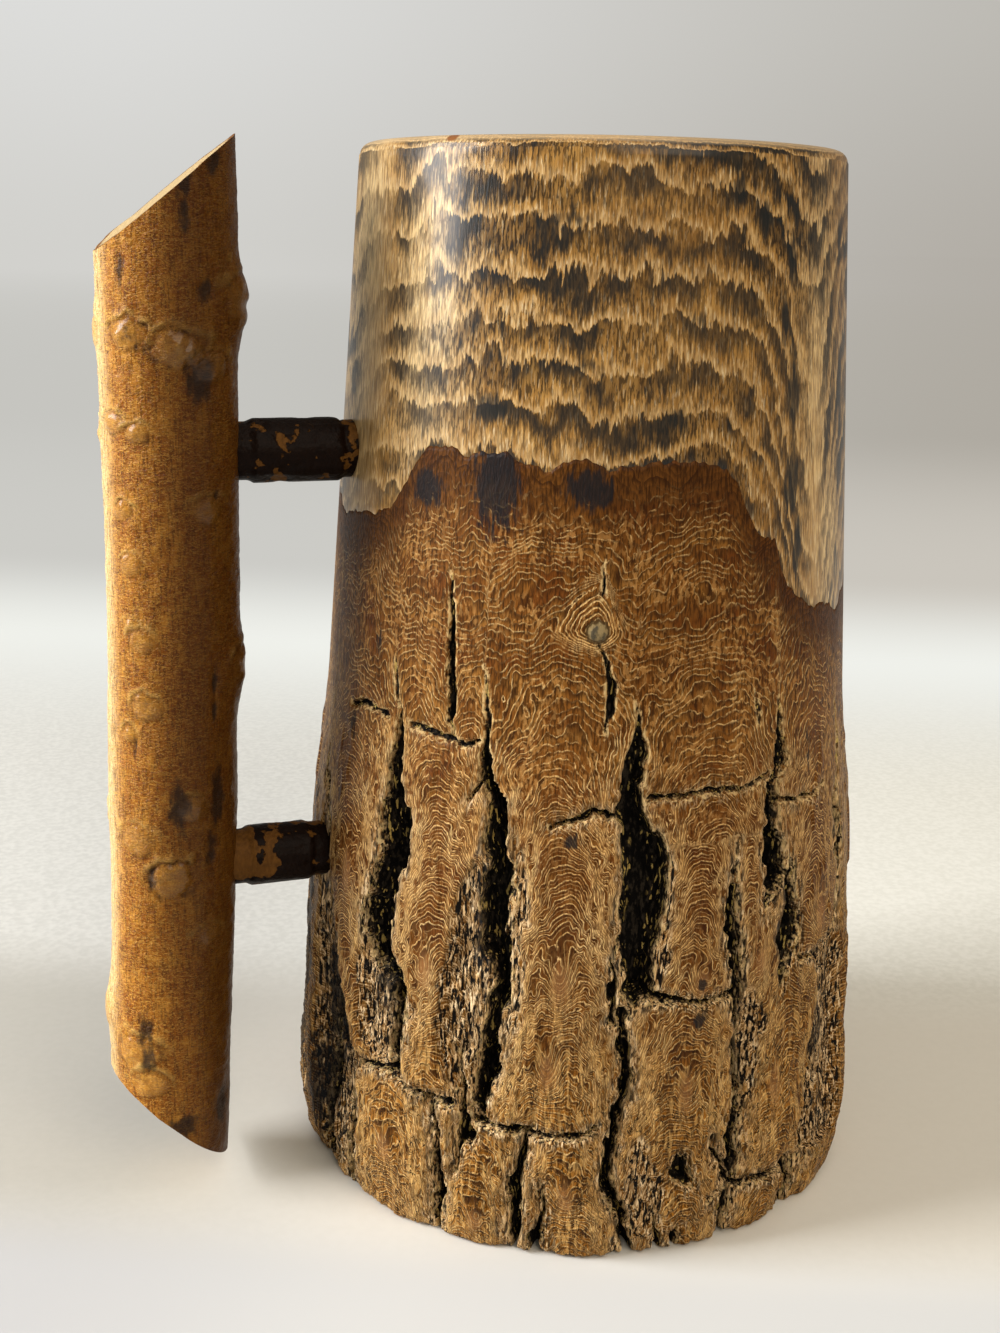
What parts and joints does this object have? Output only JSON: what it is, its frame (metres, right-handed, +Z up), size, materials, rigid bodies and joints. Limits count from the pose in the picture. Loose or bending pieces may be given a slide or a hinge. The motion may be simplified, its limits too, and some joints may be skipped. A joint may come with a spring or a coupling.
{
  "type": "log beer stein",
  "caption": "Rustic drinking stein bored from a short tapering log, bark left on its foot, with a peeled branch handle on whittled pegs.",
  "frame": {"origin": "centre of the foot, on the surface the stein stands on, on the axis of the cup's bore", "axes": "+Z up along the axis of the cup, -X towards the handle, +Y completes a right-handed frame"},
  "size_m": [0.1894, 0.1417, 0.2404],
  "materials": {
    "turned_wood": "satin",
    "bark": "satin",
    "peeled_branch": "satin",
    "peg_wood": "satin"
  },
  "bodies": {
    "root": {"turned_cup": "turned_wood", "bark_jacket": "bark", "branch_handle": "peeled_branch", "upper_peg": "peg_wood", "lower_peg": "peg_wood"}
  },
  "joints": []
}
